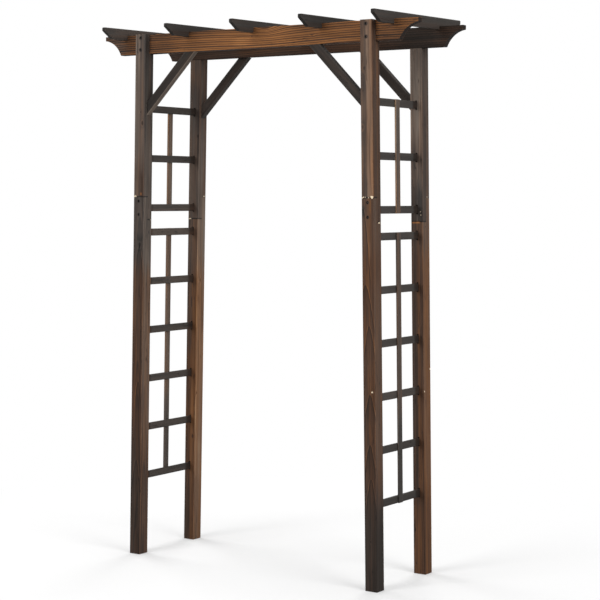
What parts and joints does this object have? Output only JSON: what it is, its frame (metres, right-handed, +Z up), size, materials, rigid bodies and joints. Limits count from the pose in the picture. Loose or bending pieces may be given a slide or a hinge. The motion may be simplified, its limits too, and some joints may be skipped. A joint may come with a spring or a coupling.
{
  "type": "garden arbor",
  "caption": "Free-standing garden arbor in charred softwood: square lap-jointed posts, scooped beams, notched rafters, knee braces and open ladder sides.",
  "frame": {"origin": "middle of the four post feet's outer box, on the ground", "axes": "+Z up, +X across the walk-through to the right as seen from the front, +Y from front to back"},
  "size_m": [1.424, 0.612, 2.0738],
  "materials": {
    "lower_post_wood": "charred, matt",
    "upper_post_wood": "charred, matt",
    "beam_wood": "charred, matt",
    "rafter_wood": "charred, matt",
    "brace_wood": "charred, matt",
    "rung_wood": "charred, matt",
    "slat_wood": "lightly charred, matt",
    "screw_steel": "dulled"
  },
  "bodies": {
    "root": {"front_left_lower_post": "lower_post_wood", "front_right_lower_post": "lower_post_wood", "back_left_lower_post": "lower_post_wood", "back_right_lower_post": "lower_post_wood", "front_left_upper_post": "upper_post_wood", "front_right_upper_post": "upper_post_wood", "back_left_upper_post": "upper_post_wood", "back_right_upper_post": "upper_post_wood", "front_beam": "beam_wood", "back_beam": "beam_wood", "rafter_1": "rafter_wood", "rafter_2": "rafter_wood", "rafter_3": "rafter_wood", "rafter_4": "rafter_wood", "rafter_5": "rafter_wood", "front_left_brace": "brace_wood", "front_right_brace": "brace_wood", "back_left_brace": "brace_wood", "back_right_brace": "brace_wood", "left_upper_rung_1": "rung_wood", "left_upper_rung_2": "rung_wood", "left_upper_rung_3": "rung_wood", "right_upper_rung_1": "rung_wood", "right_upper_rung_2": "rung_wood", "right_upper_rung_3": "rung_wood", "left_lower_rung_1": "rung_wood", "left_lower_rung_2": "rung_wood", "left_lower_rung_3": "rung_wood", "left_lower_rung_4": "rung_wood", "left_lower_rung_5": "rung_wood", "left_lower_rung_6": "rung_wood", "right_lower_rung_1": "rung_wood", "right_lower_rung_2": "rung_wood", "right_lower_rung_3": "rung_wood", "right_lower_rung_4": "rung_wood", "right_lower_rung_5": "rung_wood", "right_lower_rung_6": "rung_wood", "left_upper_slat": "slat_wood", "right_upper_slat": "slat_wood", "left_lower_slat": "slat_wood", "right_lower_slat": "slat_wood"}
  },
  "joints": []
}
